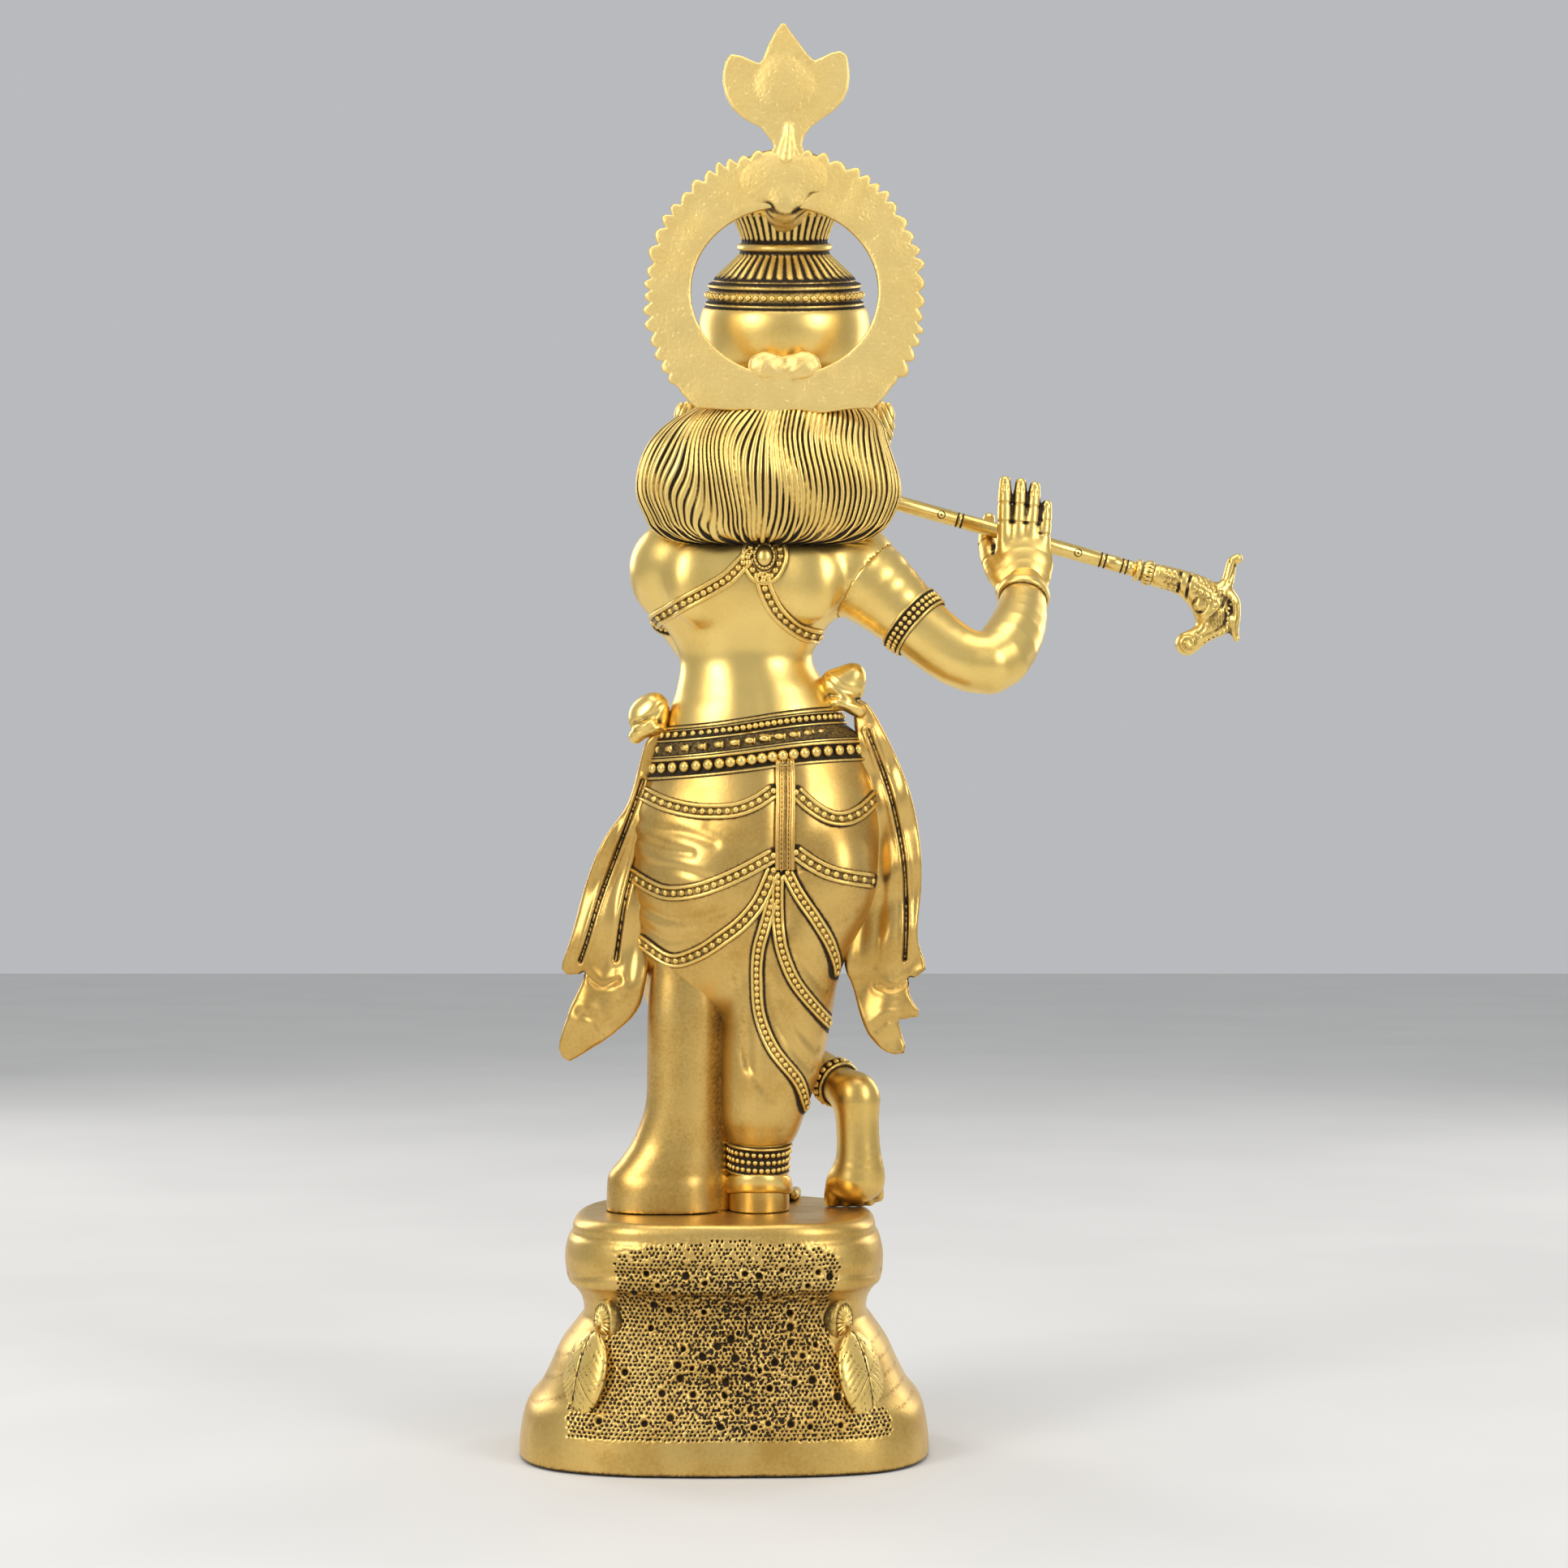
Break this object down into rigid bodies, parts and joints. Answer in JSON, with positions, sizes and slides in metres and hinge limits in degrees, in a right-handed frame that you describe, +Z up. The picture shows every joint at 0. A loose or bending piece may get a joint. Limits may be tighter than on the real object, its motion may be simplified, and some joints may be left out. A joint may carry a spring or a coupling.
{
  "type": "hindu deity statue",
  "caption": "Standing flute-playing deity with a halo, pot-shaped crown and scarf ends, in antiqued brass, on a hollow pedestal.",
  "frame": {"origin": "middle of the pedestal's flat underside, on the floor", "axes": "+Z up, the figure faces -Y, +X is the figure's left"},
  "size_m": [0.5138, 0.2252, 0.987],
  "materials": {
    "satin_brass": "satin-polished cast brass, dark antique patina left in the creases",
    "cloth_brass": "satin brass with fine brush marks and soft folds",
    "cast_brass": "as-cast brass, rough and pitted",
    "antique_brass": "chased brass, dark patina in the grooves, bright on the high spots",
    "flute_brass": "smooth satin brass"
  },
  "bodies": {
    "statue": {"pedestal": "cast_brass", "pedestal_rosettes": "cast_brass", "pedestal_leaves": "cast_brass", "support_drape": "cloth_brass", "right_leg": "satin_brass", "right_anklet": "antique_brass", "right_ankle_ring": "satin_brass", "left_leg": "satin_brass", "left_anklet": "antique_brass", "dhoti": "cloth_brass", "dhoti_tail": "cloth_brass", "dhoti_swags": "antique_brass", "dhoti_trims": "antique_brass", "front_pleats": "cloth_brass", "waist_belt": "antique_brass", "left_sash": "cloth_brass", "right_sash": "cloth_brass", "left_knot": "satin_brass", "right_knot": "satin_brass", "torso": "satin_brass", "back_strap": "antique_brass", "strap_boss": "satin_brass", "necklace": "antique_brass", "right_arm": "satin_brass", "right_armlet": "antique_brass", "right_bracelet": "satin_brass", "right_hand": "satin_brass", "left_arm": "satin_brass", "left_armlet": "antique_brass", "left_bracelet": "satin_brass", "left_hand": "satin_brass", "head": "satin_brass", "hair": "antique_brass", "ear_fans": "antique_brass", "earrings": "satin_brass", "crown": "cloth_brass", "halo": "cast_brass", "halo_top_bracket": "cast_brass", "halo_bottom_bracket": "cast_brass", "feather_finial": "satin_brass"},
    "flute": {"flute_rod": "flute_brass"},
    "flute_head": {"flute_collar": "flute_brass", "flute_head": "flute_brass"}
  },
  "joints": [
    {"name": "flute_slide", "type": "slide", "parent": "statue", "child": "flute", "axis": [-0.9632, 0, -0.2689], "range_m": [0, 0.255]},
    {"name": "flute_turn", "type": "hinge", "parent": "flute", "child": "flute_head", "pos_m": [-0.29443, -0.062, 0.61952], "axis": [-0.9632, 0, -0.2689], "continuous": true}
  ]
}
